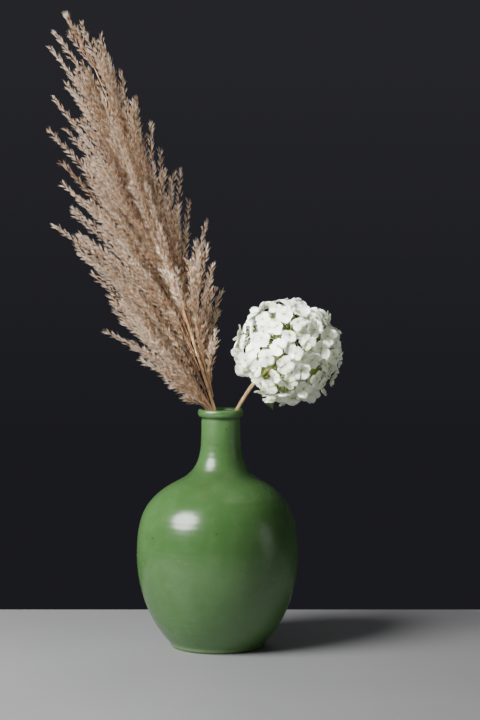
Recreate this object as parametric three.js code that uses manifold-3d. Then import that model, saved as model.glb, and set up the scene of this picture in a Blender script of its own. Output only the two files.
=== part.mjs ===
// A green glazed bottle vase that holds one plume of pampas grass and one white hydrangea.
// Millimetres, +Z up. The origin is the centre of the vase's flat foot, and -Y is the front.

import * as THREE from "three";
import { mergeVertices } from "three/addons/utils/BufferGeometryUtils.js";
import Module from "manifold-3d";

const wasm = await Module();
wasm.setup();

// ---------------------------------------------------------------- driving dimensions

const GAP = 0.3; // clear space left between pieces that touch

const VASE = {
  footFlat: 51.5, // radius of the flat that it stands on
  foot: [55.4, 5.0], // radius and height where the foot's round edge meets the wall
  belly: [92.9, 106.0],
  shoulder: [48.7, 190.3],
  neck: [22.2, 259.0],
  footLean: 0.77, // angle of the wall from upright at the foot, in radians
  shoulderSlope: 0.48, // angle of the shoulder from level, in radians
  wall: 5.2, // thickness of the body's wall
  neckWall: 3.7,
  floor: 7.0,
  lipCentre: [23.7, 268.9],
  lipRadii: [2.6, 4.4],
  neckShift: 3.8, // the thrown neck stands this far to the right of the foot's centre
  facets: 36,
};

const CULM = {
  radius: 2.35,
  tipRadius: 0.5,
  end: 0.9, // the bare culm ends at this share of the plume's whole line
  // The butt stands on the vase's floor. The plume's line leans left and bows to its tip.
  route: [
    [46, 11, 9.8], [15, 8, 202], [-3.4, 6, 272], [-20, 5, 326],
    [-50, 3, 418], [-89, 0, 525], [-134, -2, 650], [-174, -4, 725],
  ],
};

const BRANCH = { rootRadius: 0.75, tipRadius: 0.35, fluff: 3.4, sides: 5, rings: 7 };

// The plume's side branches, each from its node's height on the culm to its tip. The lowest
// leave the culm inside the neck and bend over the left of the mouth at a point of their own.
const BRANCHES = [
  // left side, from the mouth upwards
  { node: 204, tip: [-43, -12, 289], mouth: [-12.2, -3.5, 272] },
  { node: 212, tip: [-64, 16, 306], mouth: [-12.0, 4.5, 272] },
  { node: 208, tip: [-84, -24, 329], mouth: [-9.4, -8.2, 272] },
  { node: 230, tip: [-131, -6, 365], mouth: [-9.0, -0.2, 272] },
  { node: 218, tip: [-104, 28, 376], mouth: [-9.6, 9.2, 272] },
  { node: 222, tip: [-119, -36, 389], mouth: [-5.4, -11.5, 272] },
  { node: 246, tip: [-128, 6, 405], mouth: [-7.6, 3.4, 272] },
  { node: 240, tip: [-143, -24, 429], mouth: [-5.2, -4.0, 272] },
  { node: 283, tip: [-167, 22, 461] },
  { node: 296, tip: [-188, -10, 485] },
  { node: 318, tip: [-165, -44, 500] },
  { node: 334, tip: [-182, 34, 534] },
  { node: 352, tip: [-178, -30, 556] },
  { node: 372, tip: [-154, -58, 580] },
  { node: 382, tip: [-195, 8, 594] },
  { node: 410, tip: [-185, -26, 628] },
  { node: 440, tip: [-177, 30, 650] },
  { node: 470, tip: [-190, -14, 685] },
  { node: 505, tip: [-189, 16, 706] },
  // right side, from the tip downwards
  { top: true },
  { node: 545, tip: [-154, -24, 712] },
  { node: 520, tip: [-135, 18, 702] },
  { node: 478, tip: [-110, -8, 660] },
  { node: 448, tip: [-94, 32, 634] },
  { node: 418, tip: [-76, 12, 602] },
  { node: 394, tip: [-66, 46, 574] },
  { node: 362, tip: [-54, 22, 540] },
  { node: 342, tip: [-43, 56, 553] },
  { node: 324, tip: [-12, 30, 492] },
  { node: 306, tip: [-4, 10, 441] },
  { node: 290, tip: [5, 40, 409] },
  { node: 300, tip: [-24, -14, 470] },
  { node: 286, tip: [0, -10, 368] },
  // in front of and behind the culm
  { node: 460, tip: [-128, -52, 628] },
  { node: 428, tip: [-118, 58, 616] },
  { node: 388, tip: [-98, -60, 548] },
  { node: 344, tip: [-100, 68, 520] },
  { node: 312, tip: [-66, -56, 462] },
];

const STEM = {
  radius: 2.4,
  topRadius: 3.2,
  // The cut end rests low on the left of the vase's wall.
  route: [
    [-70, 8, 41], [-10, -6, 214], [22.2, -6.5, 273], [44.5, -10, 307], [66, -14, 327],
  ],
};

const HEAD = {
  centre: [80, -16, 340],
  radii: [58.5, 57, 57.5], // to the florets' faces
  florets: 118,
  cymes: 18,
  cymeShare: 0.58, // how far out from the centre each cyme divides
  bareCone: 0.56, // no florets within this angle of the stem, in radians
  rayStart: 5.6, // the rays leave the stem's top this far from its middle
  rayRadius: 1.1,
  pedicelRadius: 0.6,
  floretRadius: 9,
  floretThick: 0.9,
};

const LEAVES = [
  { from: [51.5, -4.4, 306], to: [64, 6, 271], side: [0.9, 0.1, 0.35], width: 20, sag: -4 },
  { from: [38.3, -3.2, 305.5], to: [20, 36, 346], side: [-0.52, -0.6, 0.42], width: 18, sag: -5 },
];
const LEAF_THICK = 0.7;

// ---------------------------------------------------------------- shapes

const vec = (p) => new THREE.Vector3(...p);

// A LatheGeometry about +Z from a profile of [radius, height] points.
function turned(profile, facets) {
  const points = profile.map(([r, z]) => new THREE.Vector2(Math.max(r, 0), z));
  return new THREE.LatheGeometry(points, facets).rotateX(Math.PI / 2);
}

// A round body of the given radius at each share of its length, bent along a curve.
function alongCurve(curve, radiusAt, rings, sides) {
  const profile = [[0, 0]];
  for (let i = 0; i <= rings; i += 1) {
    profile.push([radiusAt(i / rings), i / rings]);
  }
  profile.push([0, 1]);
  const geometry = turned(profile, sides);
  const frames = curve.computeFrenetFrames(rings, false);
  const position = geometry.getAttribute("position");
  const moved = new THREE.Vector3();
  for (let i = 0; i < position.count; i += 1) {
    const share = position.getZ(i);
    const ring = Math.round(share * rings);
    moved
      .copy(curve.getPointAt(ring / rings))
      .addScaledVector(frames.normals[ring], position.getX(i))
      .addScaledVector(frames.binormals[ring], position.getY(i));
    position.setXYZ(i, moved.x, moved.y, moved.z);
  }
  return geometry;
}

function toSolid(geometry) {
  const bare = new THREE.BufferGeometry()
    .setAttribute("position", geometry.getAttribute("position"))
    .setIndex(geometry.index);
  const merged = mergeVertices(bare, 1e-3);
  return new wasm.Manifold(
    new wasm.Mesh({
      numProp: 3,
      vertProperties: merged.attributes.position.array,
      triVerts: new Uint32Array(merged.index.array),
    }),
  );
}

function fromSolid(solid) {
  const mesh = solid.getMesh();
  return new THREE.BufferGeometry()
    .setAttribute("position", new THREE.BufferAttribute(mesh.vertProperties, 3))
    .setIndex(new THREE.BufferAttribute(mesh.triVerts, 1));
}

function joined(geometries) {
  return fromSolid(geometries.map(toSolid).reduce((all, one) => all.add(one)).simplify(0.12));
}

function finish(colour, roughness) {
  return new THREE.MeshStandardMaterial({ color: new THREE.Color(...colour), roughness });
}

const FINISHES = {
  glaze: finish([0.13, 0.26, 0.08], 0.2),
  straw: finish([0.62, 0.45, 0.27], 0.6),
  plume: finish([0.5, 0.37, 0.26], 0.9),
  wood: finish([0.55, 0.4, 0.24], 0.6),
  petal: finish([0.86, 0.88, 0.8], 0.6),
  leaf: finish([0.07, 0.16, 0.03], 0.5),
};

const arrangement = new THREE.Group();

function add(name, geometry, material) {
  const mesh = new THREE.Mesh(geometry, material);
  mesh.name = name;
  arrangement.add(mesh);
}

const numbered = (name, i) => `${name}_${String(i + 1).padStart(2, "0")}`;

// ---------------------------------------------------------------- vase

// The outer wall from the foot to the neck: three curves that share their tangents.
function wallCurve() {
  const { foot, belly, shoulder, neck, footLean, shoulderSlope } = VASE;
  const up = new THREE.Vector2(Math.sin(footLean), Math.cos(footLean));
  const over = new THREE.Vector2(-Math.cos(shoulderSlope), Math.sin(shoulderSlope));
  const at = (p) => new THREE.Vector2(...p);
  const path = new THREE.CurvePath();
  path.add(new THREE.CubicBezierCurve(
    at(foot), at(foot).addScaledVector(up, 36.8), at(belly).add(at([0, -35.5])), at(belly)));
  path.add(new THREE.CubicBezierCurve(
    at(belly), at(belly).add(at([0, 43.2])), at(shoulder).addScaledVector(over, -38.6), at(shoulder)));
  path.add(new THREE.CubicBezierCurve(
    at(shoulder), at(shoulder).addScaledVector(over, 28.8), at(neck).add(at([0, -36.5])), at(neck)));
  return path;
}

function vaseProfile() {
  const { footFlat, foot, neck, wall, neckWall, floor, lipCentre, lipRadii } = VASE;
  const outer = [];
  const inner = [];
  for (const curve of wallCurve().curves) {
    const steps = 6;
    for (let i = outer.length ? 1 : 0; i <= steps; i += 1) {
      const p = curve.getPoint(i / steps);
      const along = curve.getTangent(i / steps);
      const thick = THREE.MathUtils.mapLinear(
        THREE.MathUtils.clamp(p.y, 150, 215), 150, 215, wall, neckWall);
      outer.push([p.x, p.y]);
      inner.push([p.x - along.y * thick, p.y + along.x * thick]);
    }
  }
  const lip = [];
  for (let angle = -65; angle <= 205; angle += 30) {
    const a = THREE.MathUtils.degToRad(angle);
    lip.push([lipCentre[0] + lipRadii[0] * Math.cos(a), lipCentre[1] + lipRadii[1] * Math.sin(a)]);
  }
  const inside = inner.filter(([, z]) => z > floor + 3).reverse();
  return [
    [0, 0], [footFlat, 0], [foot[0] - 1.1, 1.6], ...outer,
    [neck[0] - 0.1, lipCentre[1] - lipRadii[1] - 0.6], ...lip, ...inside,
    [inside.at(-1)[0] - 4, floor], [0, floor],
  ];
}

// Leans the neck: the shift grows from none at the belly to its full size at the neck's foot.
function neckShiftAt(z) {
  return VASE.neckShift * THREE.MathUtils.smoothstep(z, 150, 215);
}

function vase() {
  const geometry = turned(vaseProfile(), VASE.facets);
  const position = geometry.getAttribute("position");
  for (let i = 0; i < position.count; i += 1) {
    position.setX(i, position.getX(i) + neckShiftAt(position.getZ(i)));
  }
  add("vase", geometry, FINISHES.glaze);
}

// ---------------------------------------------------------------- pampas grass

const culmCurve = new THREE.CatmullRomCurve3(CULM.route.map(vec), false, "centripetal");

function culmRadiusAt(share) {
  return THREE.MathUtils.lerp(CULM.radius, CULM.tipRadius, share ** 1.4);
}

// A stretch of a curve, as a curve of its own.
function stretch(curve, from, to) {
  const points = [];
  for (let i = 0; i <= 14; i += 1) {
    points.push(curve.getPointAt(THREE.MathUtils.lerp(from, to, i / 14)));
  }
  return new THREE.CatmullRomCurve3(points, false, "centripetal");
}

function culm() {
  const radiusAt = (share) => culmRadiusAt(share * CULM.end);
  add("pampas_culm", alongCurve(stretch(culmCurve, 0, CULM.end), radiusAt, 24, 8), FINISHES.straw);
}

// The share of the culm's length at which it reaches a height.
function culmShareAt(z) {
  let low = 0;
  let high = 1;
  for (let i = 0; i < 24; i += 1) {
    const middle = (low + high) / 2;
    if (culmCurve.getPointAt(middle).z < z) low = middle;
    else high = middle;
  }
  return low;
}

// A branch runs beside the culm at first and parts from it more and more towards its tip.
function besideCulm({ node, tip }) {
  const start = culmShareAt(node);
  const end = culmShareAt(Math.min(tip[2], 716));
  const away = vec(tip).sub(culmCurve.getPointAt(end));
  const along = culmCurve.getTangentAt(start);
  const outward = away.clone().addScaledVector(along, -away.dot(along)).normalize();
  const clear = culmRadiusAt(start) + BRANCH.rootRadius + 2 * GAP;
  return [0, 0.2, 0.4, 0.6, 0.8, 1].map((t) =>
    culmCurve.getPointAt(THREE.MathUtils.lerp(start, end, t))
      .addScaledVector(outward, clear * (1 - t))
      .addScaledVector(away, t ** 1.7));
}

// A low branch leaves the culm towards its place in the mouth, then arches out to its tip.
function throughMouth({ node, tip, mouth }) {
  const start = culmShareAt(node);
  const heart = culmCurve.getPointAt(start);
  const along = culmCurve.getTangentAt(start);
  const outward = vec(mouth).sub(culmCurve.getPointAt(culmShareAt(mouth[2])));
  outward.addScaledVector(along, -outward.dot(along)).normalize();
  const clear = culmRadiusAt(start) + BRANCH.rootRadius + 2 * GAP;
  const root = heart.addScaledVector(outward, clear);
  const arch = vec(mouth).lerp(vec(tip), 0.5);
  arch.z += 0.07 * vec(mouth).distanceTo(vec(tip));
  return [root, vec(mouth), arch, vec(tip)];
}

// The topmost branch carries on from the culm's end to the plume's tip.
function beyondCulm() {
  return stretch(culmCurve, CULM.end + GAP / culmCurve.getLength(), 1);
}

function branchCurve(branch) {
  if (branch.top) return beyondCulm();
  const points = branch.mouth ? throughMouth(branch) : besideCulm(branch);
  return new THREE.CatmullRomCurve3(points, false, "centripetal");
}

// Bare and thin from its root to where the fluff starts, fullest past its middle, and drawn
// out to a point.
function branchRadiusAt(share, bare, fluff) {
  const { rootRadius, tipRadius } = BRANCH;
  const beyond = THREE.MathUtils.clamp((share - bare) / (1 - bare), 0, 1);
  const thin = THREE.MathUtils.lerp(rootRadius, tipRadius, share);
  return thin + fluff * Math.max(0, Math.sin(Math.PI * beyond ** 1.2));
}

function branches() {
  BRANCHES.forEach((branch, i) => {
    const curve = branchCurve(branch);
    const length = curve.getLength();
    let bare = 0.12 * length;
    if (branch.mouth) bare = 1.15 * (branch.mouth[2] - branch.node) + 8;
    if (branch.top) bare = 0;
    const fluff = Math.min(BRANCH.fluff, 0.016 * (length - bare) + (branch.top ? 1.2 : 0));
    const radiusAt = (share) => branchRadiusAt(share, bare / length, fluff);
    const geometry = alongCurve(curve, radiusAt, BRANCH.rings, BRANCH.sides);
    add(numbered("plume_branch", i), geometry, FINISHES.plume);
  });
}

// ---------------------------------------------------------------- hydrangea

const stemCurve = new THREE.CatmullRomCurve3(STEM.route.map(vec), false, "centripetal");
const headCentre = vec(HEAD.centre);
const hub = stemCurve.getPointAt(1);
const stemEnd = stemCurve.getTangentAt(1);

function stem() {
  const radiusAt = (share) => THREE.MathUtils.lerp(
    STEM.radius, STEM.topRadius, THREE.MathUtils.smoothstep(share, 0.9, 1));
  add("hydrangea_stem", alongCurve(stemCurve, radiusAt, 18, 8), FINISHES.wood);
}

// Directions spread evenly over a sphere by the golden angle, but not near the stem.
function directions(count) {
  const golden = Math.PI * (3 - Math.sqrt(5));
  const found = [];
  for (let i = 0; i < count; i += 1) {
    const z = 1 - (2 * i + 1) / count;
    const r = Math.sqrt(1 - z * z);
    found.push(new THREE.Vector3(r * Math.cos(golden * i), r * Math.sin(golden * i), z));
  }
  return found.filter((d) => d.angleTo(stemEnd.clone().negate()) > HEAD.bareCone);
}

const onHead = (direction, share) =>
  headCentre.clone().add(direction.clone().multiply(vec(HEAD.radii)).multiplyScalar(share));

// A straight tapered rod between two points.
function rod(from, to, radius, sides) {
  const line = new THREE.LineCurve3(from, to);
  return alongCurve(line, () => radius, 1, sides);
}

// Four round petals as one flat plate, facing along the direction.
function floretPlate(centre, direction, turn) {
  const { floretRadius: r, floretThick } = HEAD;
  const shape = new THREE.Shape();
  for (let petal = 0; petal < 4; petal += 1) {
    const a = (petal * Math.PI) / 2 + turn;
    for (const [spread, reach] of [[-0.785, 0.6], [-0.38, 0.97], [0.38, 0.97]]) {
      const point = [r * reach * Math.cos(a + spread), r * reach * Math.sin(a + spread)];
      if (petal === 0 && spread === -0.785) shape.moveTo(...point);
      else shape.lineTo(...point);
    }
  }
  const plate = new THREE.ExtrudeGeometry(shape, { depth: floretThick, bevelEnabled: false });
  const face = new THREE.Quaternion().setFromUnitVectors(new THREE.Vector3(0, 0, 1), direction);
  return plate.applyQuaternion(face).translate(centre.x, centre.y, centre.z);
}

// One cyme: a ray from the stem's top that divides into the pedicels of its florets.
function cymes() {
  const axes = directions(HEAD.cymes);
  const groups = axes.map(() => []);
  directions(HEAD.florets).forEach((direction, i) => {
    const nearest = axes.reduce((best, axis, k) =>
      (axis.angleTo(direction) < axes[best].angleTo(direction) ? k : best), 0);
    groups[nearest].push({ direction, turn: i * 0.7 });
  });
  axes.forEach((axis, k) => {
    const fork = onHead(axis, HEAD.cymeShare);
    const ray = fork.clone().sub(hub).normalize();
    const start = hub.clone().addScaledVector(ray, HEAD.rayStart);
    const pieces = [rod(start, fork.clone().addScaledVector(ray, 1), HEAD.rayRadius, 4)];
    for (const { direction, turn } of groups[k]) {
      const centre = onHead(direction, 1);
      const end = centre.clone().addScaledVector(direction, HEAD.floretThick / 2);
      pieces.push(rod(fork, end, HEAD.pedicelRadius, 3));
      pieces.push(floretPlate(centre, direction, turn));
    }
    add(numbered("floret_cyme", k), joined(pieces), FINISHES.petal);
  });
}

// A pointed leaf from a flat outline, laid from one point to another and sagging between them.
function leaf({ from, to, side, width, sag }) {
  const start = vec(from);
  const along = vec(to).sub(start);
  const length = along.length();
  along.normalize();
  const across = vec(side).addScaledVector(along, -vec(side).dot(along)).normalize();
  const normal = along.clone().cross(across);
  const outline = new THREE.Shape();
  outline.moveTo(0, -1);
  outline.bezierCurveTo(0.25 * length, -0.75 * width, 0.7 * length, -0.5 * width, length, -0.3);
  outline.lineTo(length, 0.3);
  outline.bezierCurveTo(0.7 * length, 0.5 * width, 0.25 * length, 0.75 * width, 0, 1);
  const geometry = new THREE.ExtrudeGeometry(
    outline, { depth: LEAF_THICK, bevelEnabled: false, curveSegments: 8 });
  const position = geometry.getAttribute("position");
  const moved = new THREE.Vector3();
  for (let i = 0; i < position.count; i += 1) {
    const x = position.getX(i);
    const rise = position.getZ(i) + sag * Math.sin((Math.PI * x) / length);
    moved.copy(start).addScaledVector(along, x).addScaledVector(across, position.getY(i))
      .addScaledVector(normal, rise);
    position.setXYZ(i, moved.x, moved.y, moved.z);
  }
  return geometry;
}

function leaves() {
  LEAVES.forEach((one, i) => add(numbered("hydrangea_leaf", i), leaf(one), FINISHES.leaf));
}

vase();
culm();
branches();
stem();
cymes();
leaves();

export default arrangement;
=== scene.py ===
"""A green glazed bottle vase with a plume of pampas grass and a white hydrangea head."""

import math

import bpy
import numpy as np
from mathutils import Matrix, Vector


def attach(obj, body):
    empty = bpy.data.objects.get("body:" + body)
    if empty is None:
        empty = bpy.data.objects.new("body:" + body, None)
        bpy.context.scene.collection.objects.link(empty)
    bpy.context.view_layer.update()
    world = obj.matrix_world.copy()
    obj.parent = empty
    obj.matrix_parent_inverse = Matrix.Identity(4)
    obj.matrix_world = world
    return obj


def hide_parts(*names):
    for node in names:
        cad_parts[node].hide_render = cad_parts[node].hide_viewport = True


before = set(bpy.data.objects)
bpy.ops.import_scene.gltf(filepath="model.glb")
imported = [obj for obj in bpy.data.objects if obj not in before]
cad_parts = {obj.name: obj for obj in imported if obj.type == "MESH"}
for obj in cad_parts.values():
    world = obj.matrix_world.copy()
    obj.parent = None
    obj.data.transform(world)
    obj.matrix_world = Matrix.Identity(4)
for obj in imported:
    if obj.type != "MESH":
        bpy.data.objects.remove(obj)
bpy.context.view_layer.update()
MM = 0.001
GOLDEN_TURN = math.pi * (3 - math.sqrt(5))

# ------------------------------------------------------------------ arrays and meshes


def unit(v):
    """Vectors scaled to length one."""
    return v / np.maximum(np.linalg.norm(v, axis=-1, keepdims=True), 1e-12)


def eased(t):
    """A share from 0 to 1 with a soft start and end: three times its square, less twice its
    cube."""
    return t * t * (3 - 2 * t)


def across_facing(facing):
    """Two directions at right angles to each facing and to each other."""
    side = unit(np.cross(facing, [0.31, 0.2, 0.93]))
    return side, np.cross(facing, side)


def make_piece(name, points, face_sets, node, values=None, smooth=True):
    """A mesh object from points and from (faces, material) sets, which replaces a CAD node.
    values are named numbers, one per point, that its material reads."""
    mesh = bpy.data.meshes.new(name)
    sizes = np.concatenate([np.full(len(f), f.shape[1]) for f, _ in face_sets])
    corners = np.concatenate([np.asarray(f).ravel() for f, _ in face_sets]).astype(np.int32)
    mesh.vertices.add(len(points))
    mesh.vertices.foreach_set("co", np.asarray(points, np.float32).ravel())
    mesh.loops.add(len(corners))
    mesh.loops.foreach_set("vertex_index", corners)
    mesh.polygons.add(len(sizes))
    starts = np.concatenate([[0], np.cumsum(sizes)[:-1]]).astype(np.int32)
    mesh.polygons.foreach_set("loop_start", starts)
    which = np.concatenate([np.full(len(f), i) for i, (f, _) in enumerate(face_sets)])
    mesh.polygons.foreach_set("material_index", which.astype(np.int32))
    mesh.polygons.foreach_set("use_smooth", np.full(len(sizes), smooth))
    for _, material in face_sets:
        mesh.materials.append(material)
    for key, numbers in (values or {}).items():
        mesh.attributes.new(key, "FLOAT", "POINT").data.foreach_set(
            "value", np.asarray(numbers, np.float32))
    mesh.update(calc_edges=True)
    mesh.validate()
    piece = bpy.data.objects.new(name, mesh)
    bpy.context.scene.collection.objects.link(piece)
    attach(piece, "root")
    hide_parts(node)
    return piece


def gather(parts):
    """Joins (points, faces, values) parts with the same names of values into one set."""
    offset, points, faces, values = 0, [], [], {k: [] for k in parts[0][2]}
    for p, f, v in parts:
        points.append(p)
        faces.append(f + offset)
        offset += len(p)
        for k in values:
            values[k].append(v[k])
    return (np.concatenate(points), np.concatenate(faces),
            {k: np.concatenate(v) for k, v in values.items()})


def centreline(node, around):
    """The middle of each ring of a CAD stalk, from its root up. Each ring has the same number
    of corners, the first and last have one more in their middle, and each lies higher than the
    one before it."""
    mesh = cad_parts[node].data
    co = np.empty(len(mesh.vertices) * 3, np.float32)
    mesh.vertices.foreach_get("co", co)
    co = np.unique(np.round(co.reshape(-1, 3).astype(float), 6), axis=0)
    co = co[np.argsort(co[:, 2])]
    rings = (len(co) - 2) // around
    cuts = np.array([1 + around * (i + 1) for i in range(rings - 1)])
    groups = np.split(co, cuts)
    return np.array([g.mean(0) for g in groups])


def through(points, count):
    """A smooth line through the points, as count points evenly spaced along it: each stretch is
    a cubic whose ends have the direction of the neighbouring points."""
    p = np.vstack([2 * points[0] - points[1], points, 2 * points[-1] - points[-2]])
    t = np.linspace(0, 1, 16, endpoint=False)[:, None]
    fine = [0.5 * (2 * b + (c - a) * t + (2 * a - 5 * b + 4 * c - d) * t**2
                   + (3 * b - a - 3 * c + d) * t**3)
            for a, b, c, d in zip(p[:-3], p[1:-2], p[2:-1], p[3:])]
    fine = np.vstack(fine + [points[-1:]])
    run = np.concatenate([[0], np.cumsum(np.linalg.norm(np.diff(fine, axis=0), axis=1))])
    return at(fine, np.linspace(0, run[-1], count))


def runs(line):
    """The distance along a line at each of its points."""
    return np.concatenate([[0], np.cumsum(np.linalg.norm(np.diff(line, axis=0), axis=1))])


def at(line, distance):
    """Points at distances along a line."""
    run = runs(line)
    return np.stack([np.interp(distance, run, line[:, k]) for k in range(3)], -1)


def axes_along(line, distance):
    """The line's direction and two directions across it, at distances along it."""
    end = runs(line)[-1]
    d = 0.02 * end
    along = unit(at(line, np.minimum(distance + d, end)) - at(line, np.maximum(distance - d, 0)))
    side = unit(np.cross(along, [0.05, 1.0, 0.1]))
    return along, side, np.cross(side, along)


def grid_faces(rows, columns, closed):
    """Quads of a grid of rows by columns of points, closed round the columns or not."""
    i = np.arange(rows - 1)[:, None]
    j = np.arange(columns if closed else columns - 1)[None, :]
    k = (j + 1) % columns
    return np.stack([i * columns + j, i * columns + k, (i + 1) * columns + k,
                     (i + 1) * columns + j], -1).reshape(-1, 4)


def sheet_faces(rows, columns):
    """Quads of a thin closed sheet, whose points are its front grid and then its back grid: both
    grids, and the rim that joins their edges."""
    count = rows * columns
    front = grid_faces(rows, columns, False)
    edge = np.concatenate([np.arange(columns), np.arange(1, rows) * columns + columns - 1,
                           (rows - 1) * columns + np.arange(columns - 2, -1, -1),
                           np.arange(rows - 2, 0, -1) * columns])
    following = np.roll(edge, -1)
    rim = np.stack([following, edge, edge + count, following + count], 1)
    return np.vstack([front, front[:, ::-1] + count, rim])[:, ::-1]


def repeated(one, points_each, count):
    """The faces of count copies of one shape, whose points follow each other."""
    return (one[None] + points_each * np.arange(count)[:, None, None]).reshape(-1, one.shape[1])


def rod(line, radii, around, ridges=None):
    """A closed round rod along a line: rings of points, and a point in the middle of each end.
    ridges scales the radius, from the distance along the rod and the turn around it. Returns
    its points, its quads and the triangles that close its ends."""
    run = runs(line)
    along, side, up = axes_along(line, run)
    turn = np.linspace(0, 2 * np.pi, around, endpoint=False)
    radius = np.broadcast_to(np.asarray(radii, float), (len(line),))[:, None] * np.ones(around)
    if ridges is not None:
        radius = radius * ridges(run[:, None], turn[None, :])
    rings = (line[:, None] + radius[..., None] * (side[:, None] * np.cos(turn)[None, :, None]
                                                 + up[:, None] * np.sin(turn)[None, :, None]))
    points = np.vstack([rings.reshape(-1, 3), line[:1], line[-1:]])
    quads = grid_faces(len(line), around, True)[:, ::-1]
    j = np.arange(around)
    k = (j + 1) % around
    last = (len(line) - 1) * around
    n = len(line) * around
    ends = np.vstack([np.stack([j, k, np.full(around, n)], 1),
                      np.stack([last + k, last + j, np.full(around, n + 1)], 1)])
    return points, quads, ends


def triangle_rod(line, radii, around):
    """A closed round rod whose faces are all triangles."""
    points, quads, ends = rod(line, radii, around)
    return points, np.vstack([quads[:, [0, 1, 2]], quads[:, [0, 2, 3]], ends])


def blades(foot, along, side, length, width, depth=0.4):
    """Slim pointed blades, six faces each: a point at the foot, three corners at two fifths of
    the length and a point at the tip. Returns points, faces and each point's share of length."""
    n = len(foot)
    up = np.cross(along, side)
    share = np.array([0, 0.4, 0.4, 0.4, 1.0])
    across = np.array([0, -0.5, 0.5, 0, 0])
    rise = np.array([0, -0.15, -0.15, 0.85, 0]) * depth
    points = (foot[:, None] + along[:, None] * (length[:, None] * share)[..., None]
              + side[:, None] * (width[:, None] * across)[..., None]
              + up[:, None] * (width[:, None] * rise)[..., None])
    one = np.array([[0, 2, 1], [0, 3, 2], [0, 1, 3], [4, 1, 2], [4, 2, 3], [4, 3, 1]])
    return points.reshape(-1, 3), repeated(one, len(share), n), np.tile(share, n)


# ------------------------------------------------------------------ materials


class Nodes:
    """Short calls for building one material's node tree."""

    def __init__(self, name):
        self.material = bpy.data.materials.new(name)
        self.material.use_nodes = True
        self.tree = self.material.node_tree
        self.tree.nodes.clear()

    def add(self, kind, **settings):
        """A new node with these settings."""
        node = self.tree.nodes.new(kind)
        for key, value in settings.items():
            setattr(node, key, value)
        return node

    def put(self, socket, value):
        """Links a socket to another node's, or sets its value."""
        if isinstance(value, bpy.types.NodeSocket):
            self.tree.links.new(value, socket)
        else:
            socket.default_value = value

    def place(self):
        """Where on the object, in metres."""
        return self.add("ShaderNodeTexCoord").outputs["Object"]

    def value(self, name):
        """A number that the mesh holds at each point."""
        return self.add("ShaderNodeAttribute", attribute_name=name).outputs["Fac"]

    def noise(self, where, scale, detail=3.0, rough=0.5, twist=0.0):
        node = self.add("ShaderNodeTexNoise")
        for key, value in (("Vector", where), ("Scale", scale), ("Detail", detail),
                           ("Roughness", rough), ("Distortion", twist)):
            self.put(node.inputs[key], value)
        return node.outputs["Fac"]

    def math(self, operation, *values):
        """One sum of arithmetic."""
        node = self.add("ShaderNodeMath", operation=operation)
        for socket, value in zip(node.inputs, values):
            self.put(socket, value)
        return node.outputs[0]

    def span(self, value, low, high, to_low=0.0, to_high=1.0):
        """A value eased from one range to another."""
        node = self.add("ShaderNodeMapRange", interpolation_type="SMOOTHSTEP")
        for socket, v in zip(node.inputs, (value, low, high, to_low, to_high)):
            self.put(socket, v)
        return node.outputs[0]

    def mix(self, share, a, b, blend="MIX"):
        """Colour a with a share of colour b."""
        node = self.add("ShaderNodeMix", data_type="RGBA", blend_type=blend)
        self.put(node.inputs[0], share)
        for socket, colour in ((node.inputs[6], a), (node.inputs[7], b)):
            self.put(socket, colour if isinstance(colour, bpy.types.NodeSocket)
                     else (*colour, 1.0))
        return node.outputs[2]

    def ramp(self, value, *stops):
        """A colour picked from stops of (position, colour)."""
        node = self.add("ShaderNodeValToRGB")
        elements = node.color_ramp.elements
        while len(elements) < len(stops):
            elements.new(0.5)
        for element, (position, colour) in zip(elements, stops):
            element.position = position
            element.color = (*colour, 1.0)
        self.put(node.inputs[0], value)
        return node.outputs[0]

    def bump(self, height, strength, distance):
        """A fine relief that tilts the surface."""
        node = self.add("ShaderNodeBump")
        for key, value in (("Height", height), ("Strength", strength), ("Distance", distance)):
            self.put(node.inputs[key], value)
        return node.outputs[0]

    def shader(self, through=None, **inputs):
        """The surface. through is (share, colour) of the light that shines through a thin one."""
        surface = self.add("ShaderNodeBsdfPrincipled")
        for key, value in inputs.items():
            socket = surface.inputs[key.replace("_", " ")]
            if socket.type == "RGBA" and isinstance(value, tuple):
                value = (*value, 1.0)
            self.put(socket, value)
        result = surface.outputs[0]
        if through:
            glow = self.add("ShaderNodeBsdfTranslucent")
            self.put(glow.inputs["Color"], through[1])
            mixed = self.add("ShaderNodeMixShader")
            for socket, value in zip(mixed.inputs, (through[0], result, glow.outputs[0])):
                self.put(socket, value)
            result = mixed.outputs[0]
        output = self.add("ShaderNodeOutputMaterial")
        self.tree.links.new(result, output.inputs["Surface"])
        return self.material


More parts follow.
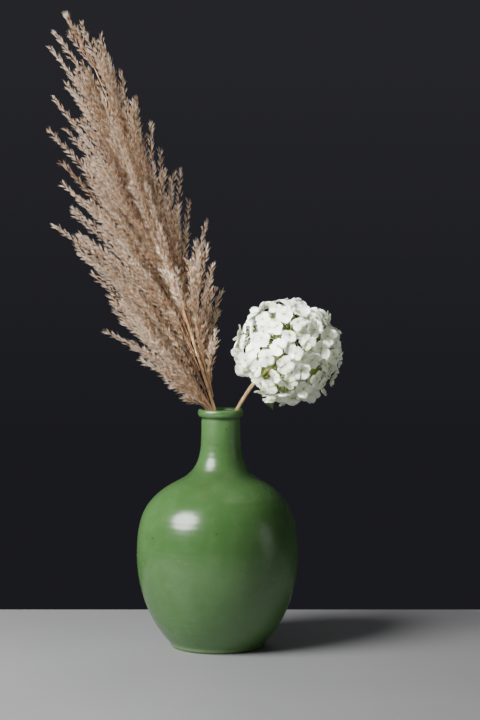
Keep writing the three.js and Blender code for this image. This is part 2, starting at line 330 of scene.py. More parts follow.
def glaze():
    """Mottled green glaze: darker in the groove under the lip, round the neck's foot and over the
    lip, partly where the glaze pools and partly as painted shade; paler where it runs thin over an
    edge, with iron pin specks and the thrower's faint rings under it."""
    n = Nodes("green_glaze")
    place = n.place()
    cloud = n.noise(place, 9.0, 4.0, 0.55)
    fine = n.noise(place, 70.0, 3.0, 0.6)
    colour = n.mix(n.span(cloud, 0.35, 0.68), (0.068, 0.163, 0.043), (0.092, 0.208, 0.062))
    colour = n.mix(n.math("MULTIPLY", n.span(fine, 0.4, 0.75), 0.22), colour, (0.125, 0.25, 0.088))
    colour = n.mix(n.math("MULTIPLY", n.value("thin"), 0.5), colour, (0.18, 0.30, 0.11))
    # Partly pooled glaze, partly painted shade: darker in the groove under the lip, round the
    # neck's foot and over the lip.
    colour = n.mix(n.math("MULTIPLY", n.value("pooled_and_painted_shade"), 0.75), colour, (0.026, 0.062, 0.018))
    for scale, size, keep, tone in ((85.0, 0.06, 0.62, (0.012, 0.022, 0.008)),
                                    (120.0, 0.045, 0.8, (0.34, 0.40, 0.22))):
        cell = n.add("ShaderNodeTexVoronoi", feature="F1")
        n.put(cell.inputs["Vector"], place)
        n.put(cell.inputs["Scale"], scale)
        dot = n.span(cell.outputs["Distance"], size, size * 1.7, 1.0, 0.0)
        pick = n.add("ShaderNodeSeparateColor")
        n.put(pick.inputs[0], cell.outputs["Color"])
        some = n.math("GREATER_THAN", pick.outputs[0], keep)
        colour = n.mix(n.math("MULTIPLY", n.math("MULTIPLY", dot, some), 0.75), colour, tone)
    height = n.add("ShaderNodeSeparateXYZ")
    n.put(height.inputs[0], place)
    wander = n.math("MULTIPLY", cloud, 5.0)
    rings = n.math("SINE", n.math("ADD", n.math("MULTIPLY", height.outputs[2], 900.0), wander))
    dimple = n.math("MULTIPLY", n.noise(place, 34.0, 2.0), 2.6)
    relief = n.math("ADD", n.math("MULTIPLY", rings, 0.5), n.math("MULTIPLY", fine, 1.4))
    relief = n.math("ADD", relief, dimple)
    return n.shader(Base_Color=colour, Roughness=n.span(cloud, 0.3, 0.7, 0.23, 0.31),
                    Specular_IOR_Level=0.75, Normal=n.bump(relief, 0.16, 0.00025))


def straw():
    """A dry grass stalk: golden, streaked along its length, with darker joints."""
    n = Nodes("dry_straw")
    streak = n.add("ShaderNodeMapping")
    n.put(streak.inputs["Vector"], n.place())
    n.put(streak.inputs["Scale"], (900.0, 900.0, 35.0))
    lines = n.noise(streak.outputs[0], 1.0, 3.0)
    colour = n.ramp(lines, (0.3, (0.46, 0.27, 0.12)), (0.5, (0.74, 0.49, 0.25)),
                    (0.7, (0.88, 0.66, 0.40)))
    colour = n.mix(n.math("MULTIPLY", n.value("joint"), 0.8), colour, (0.18, 0.09, 0.035))
    return n.shader(Base_Color=colour, Roughness=0.48, Normal=n.bump(lines, 0.4, 0.0002))


def fluff():
    """Dry plume: brown at the root of each scale and cream at its tip, no two quite alike, with
    painted shade that darkens the scales near the culm, deep in the plume, and painted light that
    lightens the outer ones.
    """
    n = Nodes("plume_fluff")
    tone = n.value("tone")
    tint = n.value("tint")
    colour = n.ramp(tone, (0.0, (0.15, 0.075, 0.036)), (0.34, (0.48, 0.305, 0.175)),
                    (0.64, (0.76, 0.585, 0.42)), (0.92, (0.98, 0.93, 0.84)))
    warm = n.mix(1.0, colour, (1.0, 0.84, 0.68), "MULTIPLY")
    colour = n.mix(n.span(tint, 0.55, 1.0), colour, warm)
    colour = n.mix(n.span(tint, 0.35, 0.0, 0.0, 0.35), colour, (0.84, 0.75, 0.63))
    return n.shader(through=(0.22, colour), Base_Color=colour, Roughness=0.7,
                    Sheen_Weight=0.25, Sheen_Roughness=0.4)


def bark():
    """The hydrangea's young woody stem: tan with pale ribs and darker freckles."""
    n = Nodes("stem_bark")
    place = n.place()
    stretch = n.add("ShaderNodeMapping")
    n.put(stretch.inputs["Vector"], place)
    n.put(stretch.inputs["Scale"], (700.0, 700.0, 60.0))
    lines = n.noise(stretch.outputs[0], 1.0, 4.0)
    freckle = n.noise(place, 800.0, 2.0)
    colour = n.ramp(lines, (0.3, (0.25, 0.145, 0.055)), (0.55, (0.44, 0.285, 0.13)),
                    (0.75, (0.54, 0.39, 0.20)))
    colour = n.mix(n.span(freckle, 0.62, 0.75, 0.0, 0.5), colour, (0.20, 0.12, 0.05))
    colour = n.mix(n.math("MULTIPLY", n.value("green"), 0.8), colour, (0.30, 0.36, 0.08))
    return n.shader(Base_Color=colour, Roughness=0.55, Normal=n.bump(lines, 0.5, 0.0003))


def petal():
    """White petal flushed with green towards its claw, faintly veined, and thin enough to glow."""
    n = Nodes("petal_white")
    reach = n.value("reach")
    veins = n.value("vein")
    blush = n.noise(n.place(), 55.0, 2.0)
    colour = n.ramp(reach, (0.0, (0.58, 0.66, 0.30)), (0.2, (0.82, 0.87, 0.60)),
                    (0.46, (0.92, 0.945, 0.80)), (1.0, (0.98, 0.98, 0.95)))
    colour = n.mix(n.math("MULTIPLY", veins, 0.14), colour, (0.80, 0.84, 0.66))
    colour = n.mix(n.span(blush, 0.42, 0.75, 0.0, 0.40), colour, (0.90, 0.94, 0.78))
    return n.shader(through=(0.26, n.mix(0.5, colour, (0.90, 0.95, 0.66))), Base_Color=colour,
                    Roughness=0.5, Normal=n.bump(veins, 0.25, 0.0002))


def shoot():
    """The yellow-green of the flower stalks and buds inside the head."""
    n = Nodes("green_shoot")
    mottle = n.noise(n.place(), 260.0, 3.0)
    colour = n.ramp(mottle, (0.3, (0.13, 0.19, 0.022)), (0.55, (0.24, 0.32, 0.05)),
                    (0.8, (0.36, 0.42, 0.11)))
    return n.shader(Base_Color=colour, Roughness=0.5, Normal=n.bump(mottle, 0.3, 0.0002))


def leaf_green():
    """Dark leaf with paler veins and a softly quilted surface."""
    n = Nodes("leaf_green")
    veins = n.value("vein")
    cloud = n.noise(n.place(), 120.0, 3.0)
    colour = n.mix(n.span(cloud, 0.35, 0.7), (0.009, 0.021, 0.0035), (0.016, 0.037, 0.006))
    colour = n.mix(n.math("MULTIPLY", veins, 0.7), colour, (0.05, 0.09, 0.02))
    relief = n.math("SUBTRACT", n.math("MULTIPLY", cloud, 0.3), veins)
    return n.shader(through=(0.08, colour), Base_Color=colour, Roughness=0.5,
                    Normal=n.bump(relief, 0.5, 0.0004))


GLAZE, STRAW, FLUFF, BARK = glaze(), straw(), fluff(), bark()
PETAL, SHOOT, LEAF = petal(), shoot(), leaf_green()

# ------------------------------------------------------------------ vase

WALL_CURVES = [
    [(55.4, 5.0), (81.0, 31.4), (92.9, 70.5), (92.9, 106.0)],
    [(92.9, 106.0), (92.9, 149.2), (82.9, 172.5), (48.7, 190.3)],
    [(48.7, 190.3), (23.2, 203.6), (22.2, 222.5), (22.2, 259.0)],
]
LIP_CENTRE, LIP_RADII = (23.7, 268.9), (2.6, 4.4)
LIP_ARC = (-70, 208)
FOOT_FLAT, FOOT_CURVE = 51.5, (3.9, 5.0)
WALL, NECK_WALL, VASE_FLOOR = 5.2, 3.7, 7.0
NECK_FROM, NECK_TO, NECK_SHIFT = 150, 215, 3.8
VASE_AROUND = 192


def bezier(control, t):
    """Points of a cubic between its first and last control points."""
    c = np.array(control, float)
    t = t[:, None]
    return ((1 - t) ** 3 * c[0] + 3 * t * (1 - t) ** 2 * c[1] + 3 * t**2 * (1 - t) * c[2]
            + t**3 * c[3])


def vase_profile():
    """The turned outline as radius, height, pooled-and-shade and thin, from the foot's middle, up
    the outside, over the lip and down the inside to the floor's middle. The pooled-and-shade value
    darkens the groove under the lip, the neck's foot and the lip: partly glaze pooling there,
    partly painted shade."""
    t = np.linspace(0, 1, 44)
    outer = np.vstack([bezier(c, t)[(0 if i == 0 else 1):] for i, c in enumerate(WALL_CURVES)])
    along = unit(np.gradient(outer, axis=0))
    thick = np.interp(outer[:, 1], [NECK_FROM, NECK_TO], [WALL, NECK_WALL])[:, None]
    inner = outer + thick * np.stack([-along[:, 1], along[:, 0]], 1)
    inner = inner[inner[:, 1] > VASE_FLOOR + 3][::-1]
    bend = np.linspace(0, 1, 7)[1:-1]
    foot = np.vstack([[[0.001, 0.0], [30.0, 0.0], [FOOT_FLAT, 0.0]],
                      np.stack([FOOT_FLAT + FOOT_CURVE[0] * np.sin(bend * np.pi / 2),
                                FOOT_CURVE[1] * (1 - np.cos(bend * np.pi / 2))], 1)])
    angle = np.radians(np.linspace(*LIP_ARC, 30))
    lip = np.stack([LIP_CENTRE[0] + LIP_RADII[0] * np.cos(angle),
                    LIP_CENTRE[1] + LIP_RADII[1] * np.sin(angle)], 1)
    groove = np.array([[21.95, 261.0], [21.8, 262.6], [21.95, 263.8]])
    low = inner[-1]
    floor = np.array([[low[0] - 1.2, low[1] - 1.9], [low[0] - 4, VASE_FLOOR],
                      [low[0] - 14, VASE_FLOOR], [0.001, VASE_FLOOR]])
    line = np.vstack([foot, outer, groove, lip, inner, floor])
    r, z = line[:, 0], line[:, 1]
    outside = np.arange(len(line)) < len(foot) + len(outer) + len(groove) + 16
    ring = 0.03 * np.sin(z / 1.35 + 2.2 * np.sin(z / 17)) * np.clip((z - 8) / 10, 0, 1)
    ring = ring * (outside & (z < 258))
    # Darker in the groove under the lip, round the neck's foot and over the whole lip: partly
    # glaze pooling, partly painted shade.
    pooled_and_painted_shade = (np.exp(-((z - 263.0) / 1.3) ** 2) * outside + 0.45 * np.exp(-((z - 200) / 9) ** 2)
              + 0.42 * (z > 264.5))
    thin = np.exp(-((z - 4.0) / 2.6) ** 2) * outside
    return r + ring, z, np.clip(pooled_and_painted_shade, 0, 1), np.clip(thin, 0, 1)


def vase():
    """The profile turned about the foot's middle, with the neck eased over to one side. Each
    end of the profile closes in one point."""
    r, z, pooled_and_painted_shade, thin = vase_profile()
    around = VASE_AROUND
    turn = np.linspace(0, 2 * np.pi, around, endpoint=False)
    rings = np.stack([r[:, None] * np.cos(turn), r[:, None] * np.sin(turn),
                      z[:, None] * np.ones(around)], -1)
    rise = np.clip((z - NECK_FROM) / (NECK_TO - NECK_FROM), 0, 1)
    rings[..., 0] += (NECK_SHIFT * eased(rise))[:, None]
    rings = rings[1:-1]
    points = np.vstack([rings.reshape(-1, 3), [[0, 0, 0]], [[0, 0, VASE_FLOOR]]]) * MM
    rows = len(rings)
    j = np.arange(around)
    k = (j + 1) % around
    caps = np.vstack([np.stack([k, j, np.full(around, rows * around)], 1),
                      np.stack([(rows - 1) * around + j, (rows - 1) * around + k,
                                np.full(around, rows * around + 1)], 1)])
    values = {"pooled_and_painted_shade": np.append(np.repeat(pooled_and_painted_shade[1:-1], around), [0, 0]),
              "thin": np.append(np.repeat(thin[1:-1], around), [0, 0])}
    make_piece("vase_glazed", points, [(grid_faces(rows, around, True), GLAZE), (caps, GLAZE)],
               "vase", values)


# ------------------------------------------------------------------ pampas grass


CULM_LINE = through(centreline("pampas_culm", 8), 240)
CULM_AROUND, CULM_RADII, CULM_JOINTS = 16, (2.35, 0.5), (0.16, 0.315, 0.43)
CULM_SHOWS_BELOW, LIP_CLEARED, BARE_FOOT_BELOW = 0.385, 0.279, 0.6
MAIN_REACH, MAIN_STEP, SIDE_REACH, SIDE_STEP, TIP_ROOM = 4.4, 2.3, 3.8, 2.5, 7
SIDE_STALKS, SIDE_STALK_EVERY = (3, 8), 0.027


def culm_at(height):
    """Where the culm stands at each height, as x and y."""
    return [np.interp(height, CULM_LINE[:, 2], CULM_LINE[:, k]) for k in (0, 1)]


def off_culm(points):
    """How far points lie from the culm, on the level."""
    x, y = culm_at(points[:, 2])
    return np.hypot(points[:, 0] - x, points[:, 1] - y)


def clear_of_culm(points):
    """True for points that don't hide the culm's lower part from the front."""
    x, y = culm_at(points[:, 2])
    near = (points[:, 0] - x > -8.5 * MM) & (points[:, 0] - x < 5 * MM)
    return ~(near & (points[:, 1] < y + 1 * MM) & (points[:, 2] < CULM_SHOWS_BELOW))


def culm():
    """The plume's stalk: its radius falls with a power of the distance along it, and a narrow
    bell curve makes a ridge at each joint."""
    run = runs(CULM_LINE)
    thick, thin = CULM_RADII
    radius = (thick + (thin - thick) * (run / run[-1]) ** 1.4) * MM
    joints = np.array(CULM_JOINTS) * run[-1]
    joint = np.exp(-((run[:, None] - joints) / 0.0016) ** 2).sum(1)
    points, quads, ends = rod(CULM_LINE, radius * (1 + 0.16 * joint), CULM_AROUND,
                              lambda s, a: 1 + 0.03 * np.sin(6 * a))
    values = {"joint": np.append(np.repeat(joint, CULM_AROUND), [0, 0])}
    make_piece("pampas_culm_straw", points, [(quads, STRAW), (ends, STRAW)], "pampas_culm",
               values)


def spikelets(line, start, reach, step, rng):
    """Parts for the scales and hairs on one stalk. They stand in a spiral along it, each tuft
    on a short foot, and lean forwards. start is how far along the first one is."""
    length = runs(line)[-1] - TIP_ROOM * MM
    s = np.arange(start, length, step)
    s = np.clip(s + rng.uniform(-0.4, 0.4, len(s)) * step, 0, length)
    share = (s - start) / max(length - start, 1e-6)
    along, side, up = axes_along(line, s)
    turn = (np.arange(len(s)) * GOLDEN_TURN + rng.normal(0, 0.35, len(s)))[:, None]
    outward = side * np.cos(turn) + up * np.sin(turn)
    full = np.interp(share, [0, 0.15, 0.5, 0.85, 1], [0.5, 0.9, 1.0, 0.75, 0.35])
    lean = (rng.uniform(0.30, 0.62, len(s)) * np.interp(share, [0, 1], [1.0, 0.8]))[:, None]
    foot_run = full * reach * rng.uniform(0.25, 1.0, len(s))
    direction = unit(along * np.cos(lean) + outward * np.sin(lean))
    foot = at(line, s)
    clear = clear_of_culm(foot)
    s, share, along, outward, full, lean, foot_run, direction, foot = (
        a[clear] for a in (s, share, along, outward, full, lean, foot_run, direction, foot))
    head = foot + direction * foot_run[:, None]
    tint = rng.uniform(0, 1, len(s))
    # A random tone for each stalk, plus painted shade and light: tufts near the culm, deep in the
    # plume, darker, and the outer ones paler.
    tone_shift_and_painted_shade = rng.normal(0, 0.07) + np.interp(off_culm(foot), [0, 0.045], [-0.14, 0.07])
    parts = []

    def put(origin, aim, run, width, low, high, depth=0.4):
        """Adds a blade to each tuft, whose tone goes from low at its foot to high at its tip."""
        across = unit(np.cross(aim, outward + 0.3 * rng.normal(0, 1, aim.shape)))
        p, f, t = blades(origin, aim, across, run, width, depth)
        each = tone_shift_and_painted_shade + rng.uniform(-0.10, 0.10, len(origin))
        tone = np.repeat(low, 5) + t * (np.repeat(high, 5) - np.repeat(low, 5))
        parts.append((p, f, {"tone": np.clip(tone + np.repeat(each, 5), 0, 1),
                             "tint": np.repeat(tint, 5)}))

    flat = np.ones(len(s))
    put(foot, direction, foot_run * 1.03, 0.26 * MM * flat, 0.15 * flat, 0.3 * flat, 0.9)
    forward = unit(direction + 0.12 * along + 0.10 * rng.normal(0, 1, direction.shape))
    tips = np.interp(share, [0, 0.5, 1], [0.70, 0.95, 1.1])
    for spread in (-0.2, 0.0, 0.2):
        aim = unit(forward + spread * unit(np.cross(forward, outward))
                   + 0.07 * rng.normal(0, 1, forward.shape))
        run = rng.uniform(6.0, 10.0, len(s)) * MM
        put(head, aim, run, rng.uniform(0.7, 1.2, len(s)) * MM, 0.06 * flat, tips)
    for _ in range(2):
        aim = unit(forward + 0.20 * rng.normal(0, 1, forward.shape))
        run = rng.uniform(6.5, 10.5, len(s)) * MM
        put(head, aim, run, rng.uniform(0.12, 0.22, len(s)) * MM, 0.4 * flat, 0.95 * flat, 0.9)
    return parts


def stalk(line, thick, thin):
    """A thin round stalk as triangles, with the values of the fluff."""
    points, faces = triangle_rod(line, np.linspace(thick, thin, len(line)), 5)
    return points, faces, {"tone": np.full(len(points), 0.30), "tint": np.full(len(points), 0.8)}


def plume_branch(number, node):
    """One branch of the plume along its CAD spindle: a main stalk and finer ones that leave it
    at narrow angles and run beside it, all clothed in spikelets from where it clears the vase."""
    rng = np.random.default_rng(700 + number)
    main = through(centreline(node, 5), 60)
    length = runs(main)[-1]
    clear = 0.0
    if main[0, 2] < LIP_CLEARED:
        clear = np.interp(LIP_CLEARED, main[:, 2], runs(main))
    bare = 0.0 if main[0, 2] > BARE_FOOT_BELOW else max(clear, 0.05 * length)
    parts = [stalk(main, 0.75 * MM, 0.16 * MM)]
    parts += spikelets(main, bare, MAIN_REACH * MM, MAIN_STEP * MM, rng)
    count = int(np.clip(round(length / SIDE_STALK_EVERY), *SIDE_STALKS))
    for i in range(count):
        leave = bare + (length - bare) * (0.02 + 0.55 * (i + rng.uniform(0, 0.8)) / count)
        end = leave + (length - leave) * rng.uniform(0.40, 0.85)
        s = np.linspace(leave, end, 24)
        t = ((s - leave) / (end - leave))[:, None]
        along, side, up = axes_along(main, s)
        turn = GOLDEN_TURN * i + rng.uniform(0, 1.2) + number
        apart = rng.uniform(5, 19) * MM * min(1.0, (end - leave) / 0.09)
        across = side * np.cos(turn) + up * np.sin(turn)
        line = at(main, s) + across * apart * t**0.85
        line[:, 2] = np.maximum(line[:, 2], main[0, 2])
        parts.append(stalk(line, 0.34 * MM, 0.12 * MM))
        parts += spikelets(line, 0.03 * (end - leave), SIDE_REACH * MM, SIDE_STEP * MM, rng)
    points, faces, values = gather(parts)
    make_piece(node + "_spray", points, [(faces, FLUFF)], node, values, smooth=False)


def plume():
    """Every branch, in the order of the nodes' names."""
    for number, node in enumerate(sorted(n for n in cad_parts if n.startswith("plume_"))):
        plume_branch(number, node)


# ------------------------------------------------------------------ hydrangea

HEAD = {"centre": (80, -16, 340), "radii": (58.5, 57, 57.5), "cymes": 18, "cyme_share": 0.58,
        "florets": 118, "bare_cone": 0.56, "lift": -1.0,
        "second_florets": 56, "second_bare_cone": 0.40, "second_lift": -6.0}
STEM_AROUND, STEM_JOINTS = 20, (0.11, 0.262)
STEM_LINE = through(centreline("hydrangea_stem", 8), 140)
HUB = STEM_LINE[-1]
STEM_END = unit(STEM_LINE[-1] - STEM_LINE[-6])


def stem():
    """The woody stem, swelling a little at its joints and greener towards the head."""
    run = runs(STEM_LINE)
    share = run / run[-1]
    swell = np.clip((share - 0.9) / 0.1, 0, 1)
    joint = np.exp(-((run[:, None] - np.array(STEM_JOINTS)) / 0.0024) ** 2).sum(1)
    radius = (2.2 + eased(swell)) * MM * (1 + 0.10 * joint)
    points, quads, ends = rod(STEM_LINE, radius, STEM_AROUND,
                              lambda s, a: 1 + 0.025 * np.sin(5 * a + 20 * s))
    green = np.repeat(np.clip((share - 0.86) / 0.12, 0, 1), STEM_AROUND)
    green = np.append(green, [0, 1])
    make_piece("hydrangea_stem_bark", points, [(quads, BARK), (ends, BARK)], "hydrangea_stem",
               {"green": green})


def directions(count):
    """Directions spread evenly over a sphere by the golden angle, but not near the stem."""
    i = np.arange(count)
    z = 1 - (2 * i + 1) / count
    r = np.sqrt(1 - z * z)
    turn = GOLDEN_TURN * i
    found = np.stack([r * np.cos(turn), r * np.sin(turn), z], 1)
    return found[found @ -STEM_END < math.cos(HEAD["bare_cone"])]


def between(facings, more):
    """The directions with more of them added, each in the widest gap that is left."""
    tries = unit(np.random.default_rng(9).normal(0, 1, (4000, 3)))
    tries = tries[tries @ -STEM_END < math.cos(HEAD["second_bare_cone"])]
    for _ in range(more):
        widest = np.argmin((tries @ facings.T).max(1))
        facings = np.vstack([facings, tries[widest]])
    return facings


def on_head(direction, share):
    """Points at a share of the head's radii from its centre, in each direction."""
    return (np.array(HEAD["centre"]) + direction * np.array(HEAD["radii"]) * share) * MM


PETAL_REACH = np.array([0.03, 0.12, 0.22, 0.34, 0.48, 0.62, 0.76, 0.87, 0.95, 1.0])
PETAL_ROWS, PETAL_COLUMNS = len(PETAL_REACH), 7


def petals(centre, facing, turn, size, rng):
    """The four petals of each floret as thin closed shells. Along its length each is a narrow
    claw that broadens to a round blade; it dishes in the middle and its rim waves a little."""
    n = len(centre)
    u = PETAL_REACH[:, None]
    v = np.linspace(-1, 1, PETAL_COLUMNS)[None, :]
    half = np.interp(u, [0, 0.12, 0.22, 0.34, 0.48, 0.62, 0.76, 0.87, 0.95, 1.0],
                     [0.06, 0.14, 0.27, 0.41, 0.51, 0.545, 0.51, 0.41, 0.28, 0.12])
    k = np.arange(4)
    angle = turn[:, None] + k * np.pi / 2 + rng.normal(0, 0.11, (n, 4))
    scale = size[:, None] * rng.uniform(0.86, 1.10, (n, 4))
    dish = rng.uniform(-0.10, 0.24, (n, 4))[..., None, None]
    droop = (rng.normal(0.08, 0.20, (n, 1)) + rng.normal(0, 0.11, (n, 4)))[..., None, None]
    wave = rng.uniform(0, 6.28, (n, 4))[..., None, None]
    layer = np.array([0.0, 0.035, 0.0, 0.035])[None, :, None, None]
    x = (u - 0.05 * v**2 * u**3) * np.ones((n, 4, 1, 1))
    y = half * v * np.ones((n, 4, 1, 1))
    z = (0.05 + layer + dish * (v**2 * u - 0.25 * np.sin(np.pi * u)) - droop * u**2
         + 0.035 * u * np.sin(3.2 * v + 5 * u + wave))
    side, up = across_facing(facing)
    a = angle[..., None]
    out = side[:, None] * np.cos(a) + up[:, None] * np.sin(a)
    across = np.cross(np.broadcast_to(facing[:, None], out.shape), out)
    local = (x[..., None] * out[:, :, None, None] + y[..., None] * across[:, :, None, None]
             + z[..., None] * facing[:, None, None, None])
    front = centre[:, None, None, None] + local * scale[..., None, None, None]
    back = front - facing[:, None, None, None] * 0.24 * MM
    rows, columns = PETAL_ROWS, PETAL_COLUMNS
    points = np.stack([front, back], 2).reshape(-1, 3)
    faces = repeated(sheet_faces(rows, columns), 2 * rows * columns, 4 * n)
    reach = np.broadcast_to(u, (rows, columns)).ravel()
    lines = np.abs(np.sin((np.broadcast_to(v, (rows, columns)) * 2.2) * np.pi / 2)) ** 3
    vein = (lines * (1 - 0.6 * np.broadcast_to(u, (rows, columns)))).ravel()
    return points, faces, {"reach": np.tile(reach, 8 * n), "vein": np.tile(vein, 8 * n)}


def beads(centre, facing, size):
    """Small round closed beads: two rings of six corners and a point at each end."""
    side, up = across_facing(facing)
    turn = np.arange(6) * np.pi / 3
    circle = (side[:, None] * np.cos(turn)[None, :, None]
              + up[:, None] * np.sin(turn)[None, :, None])
    c, f, s = centre[:, None], facing[:, None], size[:, None, None]
    points = np.concatenate([c - f * s, c + (circle * 0.88 - f * 0.48) * s,
                             c + (circle * 0.88 + f * 0.48) * s, c + f * s], 1)
    j = np.arange(6)
    k = (j + 1) % 6
    one = np.vstack([np.stack([np.zeros(6, int), 1 + k, 1 + j], 1),
                     np.stack([1 + j, 1 + k, 7 + k], 1), np.stack([1 + j, 7 + k, 7 + j], 1),
                     np.stack([7 + j, 7 + k, np.full(6, 13)], 1)])
    return points.reshape(-1, 3), repeated(one, points.shape[1], len(centre))


def sprig(start, bend, end, thick, thin, around=6, rows=7):
    """A thin green stalk that bows from start past bend to end, as triangles."""
    t = np.linspace(0, 1, rows)[:, None]
    line = (1 - t) ** 2 * start + 2 * t * (1 - t) * bend + t * t * end
    return triangle_rod(line, np.linspace(thick, thin, rows), around)


def cyme(number, axis, facings, lifts):
    """One cluster: a ray from the stem's top, the florets' own stalks, and the florets."""
    rng = np.random.default_rng(40 + number)
    n = len(facings)
    fork = on_head(axis, HEAD["cyme_share"])
    ray = unit(fork - HUB)
    greens = [sprig(HUB + ray * 5.6 * MM, (HUB + fork) / 2 + rng.normal(0, 1.5, 3) * MM, fork,
                    1.3 * MM, 0.9 * MM, 7)]
    centre = on_head(facings, 1.0) + facings * ((lifts + rng.uniform(-2.5, 2.5, n)) * MM)[:, None]
    facing = unit(facings + rng.normal(0, 0.30, facings.shape))
    for i in range(n):
        knee = fork + (centre[i] - fork) * 0.55 + (axis * 3.0 + rng.normal(0, 1.2, 3)) * MM
        greens.append(sprig(fork, knee, centre[i] - facing[i] * 0.1 * MM, 0.62 * MM, 0.5 * MM))
    greens.append(beads(centre + facing * 0.9 * MM, facing, rng.uniform(0.7, 0.95, n) * MM))
    inner = unit(np.repeat(facings, 2, 0) + rng.normal(0, 0.16, (2 * n, 3)))
    bud = on_head(inner, 1.0) - inner * rng.uniform(9, 17, 2 * n)[:, None] * MM
    for i in range(2 * n):
        greens.append(sprig(fork, (fork + bud[i]) / 2 + axis * 2 * MM, bud[i], 0.45 * MM,
                            0.4 * MM, 5, 4))
    greens.append(beads(bud, inner, rng.uniform(1.2, 2.0, 2 * n) * MM))
    green_points, green_faces, _ = gather([(p, f, {}) for p, f in greens])
    petal_points, petal_faces, values = petals(centre, facing, rng.uniform(0, 6.28, n),
                                               rng.uniform(9.6, 11.4, n) * MM, rng)
    points = np.vstack([petal_points, green_points])
    values = {k: np.append(v, np.zeros(len(green_points))) for k, v in values.items()}
    node = f"floret_cyme_{number + 1:02d}"
    make_piece(node + "_flowers", points,
               [(petal_faces, PETAL), (green_faces + len(petal_points), SHOOT)], node,
               values)


def head():
    """The florets' directions, shared out to the clusters whose axes are nearest to them. The
    second florets sit deeper, in the gaps between the first."""
    axes = directions(HEAD["cymes"])
    facings = directions(HEAD["florets"])
    outer = len(facings)
    facings = between(facings, HEAD["second_florets"])
    lifts = np.where(np.arange(len(facings)) < outer, HEAD["lift"], HEAD["second_lift"])
    nearest = np.argmax(facings @ axes.T, axis=1)
    for number, axis in enumerate(axes):
        cyme(number, axis, facings[nearest == number], lifts[nearest == number])


LEAVES = [
    {"from": (51.5, -4.4, 306), "to": (64, 6, 271), "side": (0.9, 0.1, 0.35), "width": 20,
     "sag": -4},
    {"from": (38.3, -3.2, 305.5), "to": (20, 36, 346), "side": (-0.52, -0.6, 0.42), "width": 18,
     "sag": -5},
]


def leaf(number, shape):
    """A pointed leaf as a thin closed shell: folded a little along its midrib, waved at its
    edge, and drawn out to a slim tip."""
    start, end = np.array(shape["from"], float), np.array(shape["to"], float)
    length = np.linalg.norm(end - start)
    along = (end - start) / length
    side = np.array(shape["side"], float)
    side = unit(side - along * (side @ along))
    normal = np.cross(along, side)
    rows, columns = 40, 17
    u = np.linspace(0, 1, rows)[:, None]
    v = np.linspace(-1, 1, columns)[None, :]
    half = shape["width"] * np.interp(u, [0, 0.05, 0.2, 0.4, 0.6, 0.8, 0.92, 1],
                                      [0.05, 0.12, 0.40, 0.52, 0.42, 0.20, 0.06, 0.02])
    half = half * (1 + 0.03 * np.sin(u * 70) * np.abs(v))
    rise = (shape["sag"] * np.sin(np.pi * u) + 0.20 * np.abs(v) * half
            + 0.5 * np.sin(9 * u + 2 * v) * np.abs(v))
    front = (start + along * (length * u)[..., None] + side * (half * v)[..., None]
             + normal * (rise + 0.5)[..., None])
    points = np.stack([front, front - normal * 0.5]).reshape(-1, 3) * MM
    midrib = np.exp(-(v / 0.07) ** 2) * np.ones((rows, 1))
    ribs = np.clip(np.cos(2 * np.pi * (u * 8 - np.abs(v) * 1.1)), 0, 1) ** 12
    vein = np.tile(np.clip(midrib + 0.7 * ribs, 0, 1).ravel(), 2)
    node = f"hydrangea_leaf_{number + 1:02d}"
    make_piece(node + "_blade", points, [(sheet_faces(rows, columns), LEAF)], node,
               {"vein": vein})


# ------------------------------------------------------------------ table, light and camera


TABLE_TONE = (0.38, 0.38, 0.386)
CAMERA_PLACE, CAMERA_AIM, CAMERA_LENS = (0.0258, -2.2, 0.4655), (0.0258, 0.0, 0.3294), 96.3


def table_paint():
    """The table top's pale matt paint, faintly clouded."""
    n = Nodes("pale_table")
    grain = n.noise(n.place(), 3.0, 2.0)
    tone = n.mix(n.span(grain, 0.3, 0.7), TABLE_TONE, tuple(c * 0.93 for c in TABLE_TONE))
    return n.shader(Base_Color=tone, Roughness=0.6)


def table():
    """A plain pale table top that ends a hand's breadth behind the vase."""
    x, front, back, thick = 3.0, -3.0, 0.212, 0.06
    corners = np.array([[a, b, c] for a in (-x, x) for b in (front, back) for c in (-thick, 0)])
    faces = [(0, 1, 3, 2), (4, 6, 7, 5), (0, 4, 5, 1), (2, 3, 7, 6), (0, 2, 6, 4), (1, 5, 7, 3)]
    mesh = bpy.data.meshes.new("table_top")
    mesh.from_pydata(corners.tolist(), [], faces)
    mesh.materials.append(table_paint())
    top = bpy.data.objects.new("table_top", mesh)
    bpy.context.scene.collection.objects.link(top)


def lamp(name, where, aim, width, height, power, mirrored=True, spread=180):
    """A soft oval lamp; one that isn't mirrored leaves no highlight on the glaze."""
    data = bpy.data.lights.new(name, "AREA")
    data.shape = "ELLIPSE"
    data.size, data.size_y = width, height
    data.energy = power
    data.spread = math.radians(spread)
    light = bpy.data.objects.new(name, data)
    light.location = where
    light.visible_glossy = mirrored
    light.rotation_euler = (Vector(aim) - Vector(where)).to_track_quat("-Z", "Y").to_euler()
    bpy.context.scene.collection.objects.link(light)


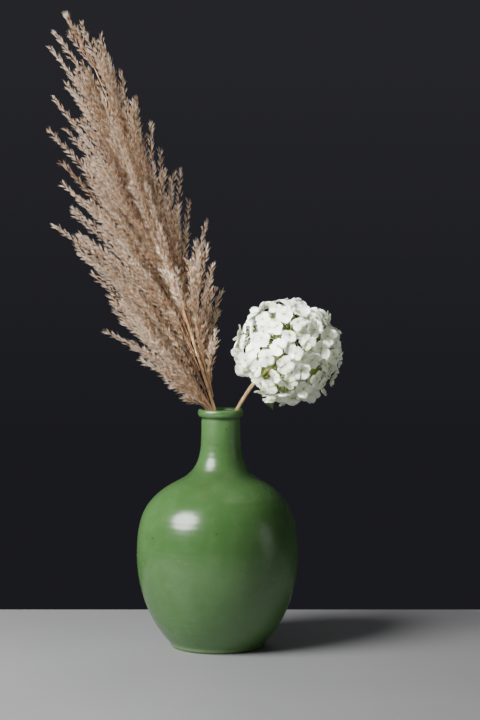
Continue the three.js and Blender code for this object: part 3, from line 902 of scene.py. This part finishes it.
def backdrop():
    """A charcoal backdrop that grows a little darker downwards."""
    world = bpy.data.worlds.new("charcoal")
    world.use_nodes = True
    tree = world.node_tree
    place = tree.nodes.new("ShaderNodeTexCoord")
    parts = tree.nodes.new("ShaderNodeSeparateXYZ")
    height = tree.nodes.new("ShaderNodeMapRange")
    mixed = tree.nodes.new("ShaderNodeMix")
    mixed.data_type = "RGBA"
    tree.links.new(place.outputs["Generated"], parts.inputs[0])
    tree.links.new(parts.outputs[2], height.inputs[0])
    height.inputs[1].default_value, height.inputs[2].default_value = -0.10, 0.10
    tree.links.new(height.outputs[0], mixed.inputs[0])
    mixed.inputs[6].default_value = (0.0145, 0.0143, 0.0190, 1)
    mixed.inputs[7].default_value = (0.0245, 0.0243, 0.0293, 1)
    tree.links.new(mixed.outputs[2], tree.nodes["Background"].inputs["Color"])
    bpy.context.scene.world = world


def studio():
    """The backdrop, the lamps, and a camera that looks a little down at the object."""
    backdrop()
    lamp("key_softbox", (-1.04, -0.70, 1.02), (0.0, 0.0, 0.27), 0.96, 0.84, 44.0)
    lamp("head_beam", (-1.10, -0.92, 1.15), (0.080, -0.016, 0.352), 0.14, 0.14, 0.56, False, 6)
    lamp("plume_beam", (1.15, -1.35, 0.75), (-0.08, 0.0, 0.57), 0.4, 0.4, 0.40, False, 20)
    lamp("top_fill", (-0.3, -0.5, 1.9), (0.0, 0.0, 0.3), 1.0, 1.0, 1.2, False)
    lamp("right_strip", (1.5, -0.45, 0.35), (0.0, 0.0, 0.15), 0.5, 0.9, 0.8)
    lamp("back_fill", (0.4, 1.9, 1.3), (0.0, 0.0, 0.3), 1.4, 1.0, 3.0, False)
    camera = bpy.data.cameras.new("camera")
    camera.sensor_width = 36.0
    camera.lens = CAMERA_LENS
    view = bpy.data.objects.new("camera", camera)
    view.location = CAMERA_PLACE
    aim = Vector(CAMERA_AIM) - Vector(CAMERA_PLACE)
    view.rotation_euler = aim.to_track_quat("-Z", "Y").to_euler()
    bpy.context.scene.collection.objects.link(view)
    bpy.context.scene.camera = view


vase()
culm()
plume()
stem()
head()
for index, outline in enumerate(LEAVES):
    leaf(index, outline)
table()
studio()
